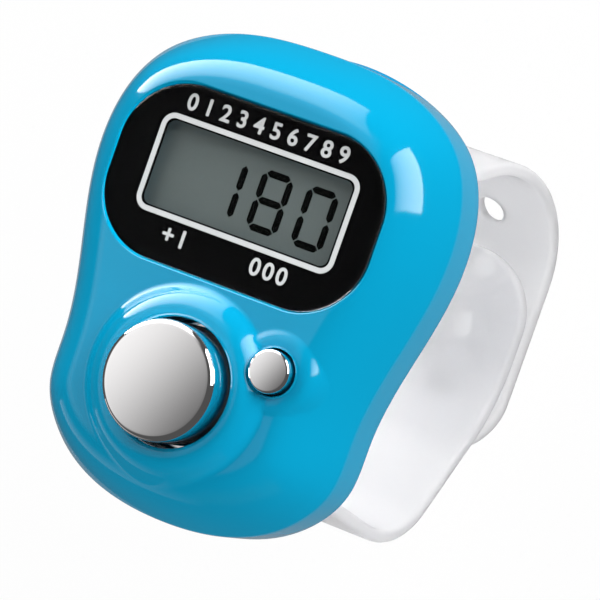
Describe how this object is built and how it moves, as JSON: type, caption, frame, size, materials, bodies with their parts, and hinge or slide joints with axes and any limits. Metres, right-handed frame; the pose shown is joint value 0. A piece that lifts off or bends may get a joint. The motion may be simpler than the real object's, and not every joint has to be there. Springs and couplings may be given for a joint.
{
  "type": "finger tally counter",
  "caption": "Small egg-shaped electronic counter with a display window, a large and a small push button, and a translucent strap loop for a finger.",
  "frame": {"origin": "middle of the finger loop, on the display's middle line", "axes": "+X along the finger, to the right of the display; +Y up the display; +Z out of the front"},
  "size_m": [0.0318, 0.0392, 0.0423],
  "materials": {
    "blue_shell": "glossy moulded plastic",
    "clear_lens": "clear polished plastic",
    "black_print": "black screen print with a pale frame line",
    "adhesive_tape": "double-sided tape",
    "polariser": "satin film",
    "cell_glass": "thin glass",
    "reflector": "silvered film",
    "striped_rubber": "striped conductive rubber",
    "foam": "soft foam",
    "board": "green solder mask",
    "black_resin": "cured resin",
    "chrome_plate": "mirror plating on plastic",
    "silicone": "soft silicone",
    "carbon": "carbon-filled rubber",
    "cell_steel": "drawn steel",
    "spring_steel": "plated sheet",
    "screw_steel": "plated steel",
    "milky_strap": "translucent soft plastic"
  },
  "bodies": {
    "casing": {"front_shell": "blue_shell", "rear_cover": "blue_shell", "window_lens": "clear_lens", "window_mask": "black_print", "window_tape": "adhesive_tape", "front_polariser": "polariser", "front_glass": "cell_glass", "rear_glass": "cell_glass", "rear_reflector": "reflector", "zebra_connector": "striped_rubber", "foam_strip": "foam", "circuit_board": "board", "chip_glob": "black_resin", "count_dome": "silicone", "reset_dome": "silicone", "button_cell": "cell_steel", "minus_contact": "spring_steel", "plus_contact": "spring_steel", "case_screws": "screw_steel", "board_screws": "screw_steel", "upper_strap": "milky_strap", "lower_strap": "milky_strap"},
    "count_key": {"count_button": "chrome_plate", "count_pill": "carbon"},
    "reset_key": {"reset_button": "chrome_plate", "reset_pill": "carbon"},
    "tail": {"strap_tail": "milky_strap"}
  },
  "joints": [
    {"name": "count_press", "type": "slide", "parent": "casing", "child": "count_key", "axis": [0, 0, -1], "range_m": [0, 0.001], "stiffness_N_per_m": 1200, "deforming": ["count_dome"]},
    {"name": "reset_press", "type": "slide", "parent": "casing", "child": "reset_key", "axis": [0, 0, -1], "range_m": [0, 0.0007], "stiffness_N_per_m": 1200, "deforming": ["reset_dome"]},
    {"name": "tail_peel", "type": "hinge", "parent": "casing", "child": "tail", "pos_m": [0.0065, 0.005, -0.0159], "axis": [1, 0, 0], "range_deg": [0, 75], "stiffness_Nm_per_rad": 0.003}
  ]
}
